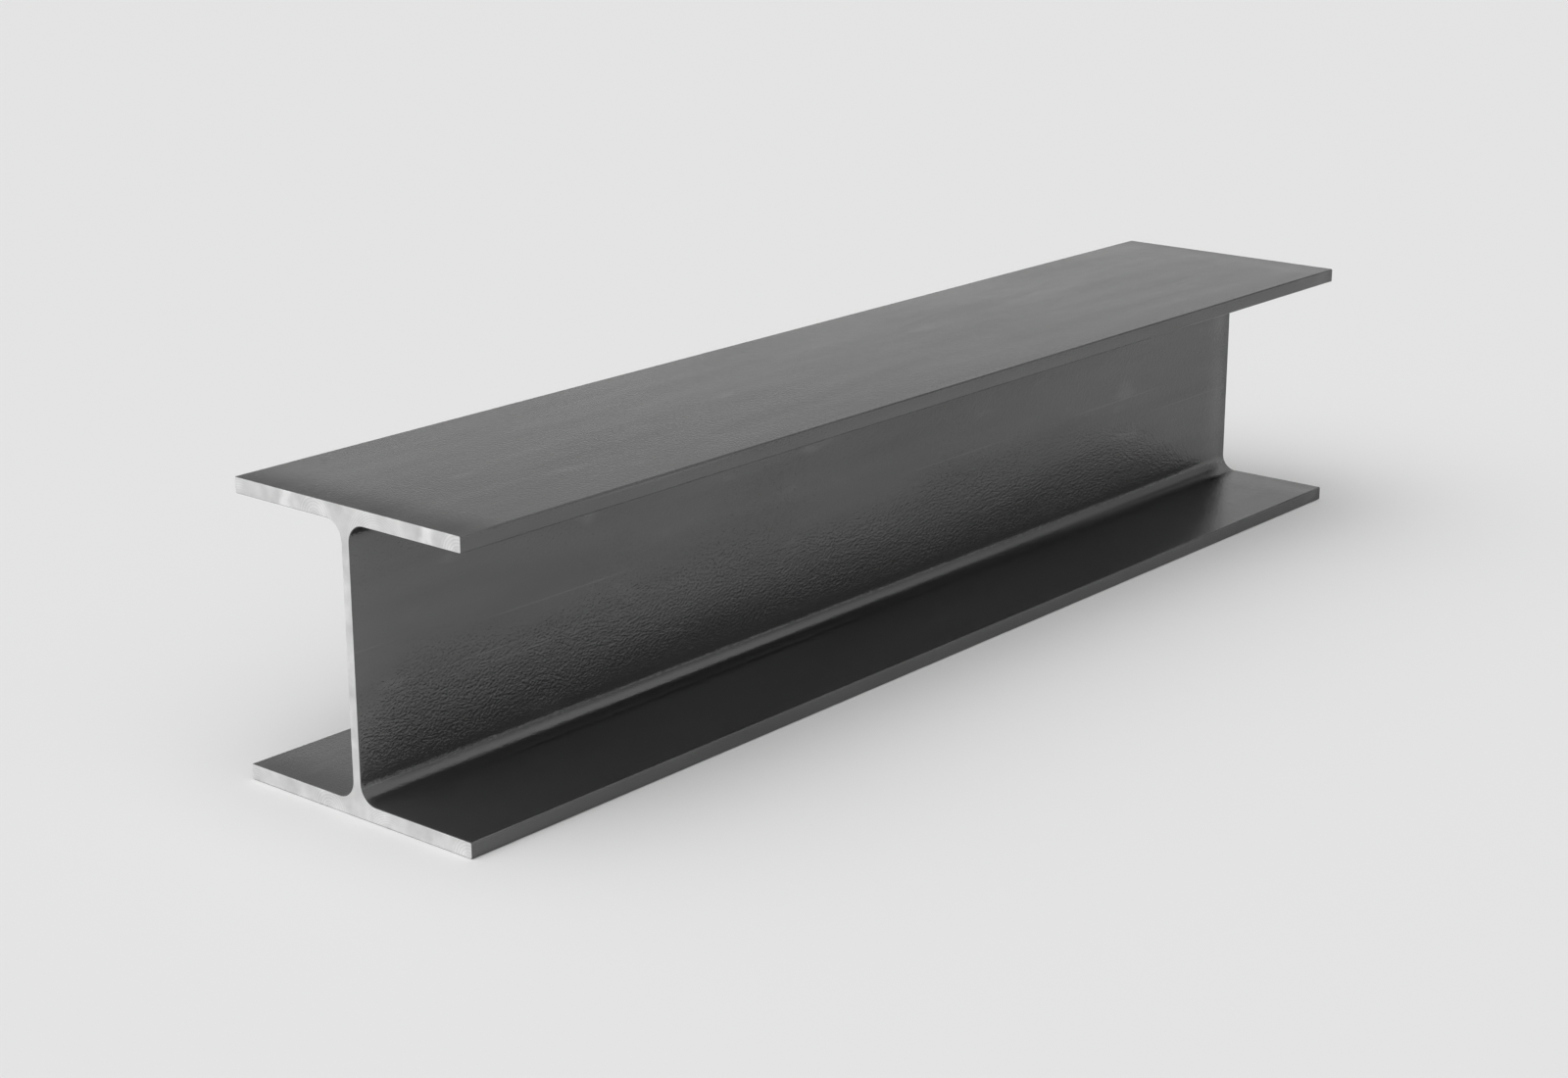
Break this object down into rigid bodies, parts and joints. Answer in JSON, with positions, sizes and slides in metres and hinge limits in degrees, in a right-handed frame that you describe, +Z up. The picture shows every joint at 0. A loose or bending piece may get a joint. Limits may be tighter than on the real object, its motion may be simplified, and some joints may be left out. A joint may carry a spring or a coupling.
{
  "type": "steel i-beam",
  "caption": "Short length of hot-rolled wide-flange steel beam with equal depth and width, root fillets, dark mill scale and bright square-sawn ends.",
  "frame": {"origin": "middle of the underside of the bottom flange, halfway along the beam", "axes": "+X along the beam, +Y across the flanges, +Z up from the bottom flange to the top flange"},
  "size_m": [1.016, 0.2032, 0.2032],
  "materials": {
    "mill_scale_steel": "hot-rolled, dark grey satin mill scale with fine rolled grain; the two sawn ends are bright bare steel"
  },
  "bodies": {
    "root": {"steel_i_beam": "mill_scale_steel"}
  },
  "joints": []
}
